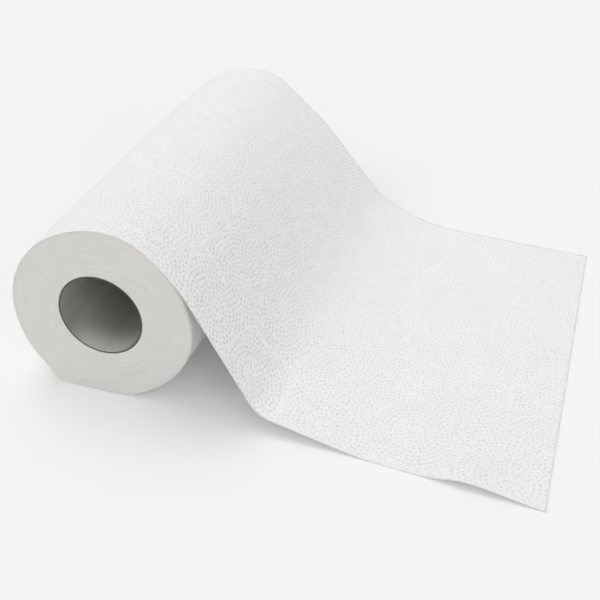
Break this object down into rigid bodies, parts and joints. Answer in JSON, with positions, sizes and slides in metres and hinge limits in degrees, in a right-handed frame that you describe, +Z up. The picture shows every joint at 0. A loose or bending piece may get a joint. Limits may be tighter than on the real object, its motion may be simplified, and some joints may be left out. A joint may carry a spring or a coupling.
{
  "type": "paper towel roll",
  "caption": "Roll of embossed white paper towel on a cardboard core, with its free end pulled off over the top and lying on the table.",
  "frame": {"origin": "middle of the core's bore, halfway along the roll", "axes": "+Y along the bore, +Z up from the table, the free sheet leaves towards +X"},
  "size_m": [0.2715, 0.2398, 0.0884],
  "materials": {
    "paper": "matte",
    "core_board": "matte"
  },
  "bodies": {
    "root": {"paper_web": "paper", "core_tube": "core_board"}
  },
  "joints": []
}
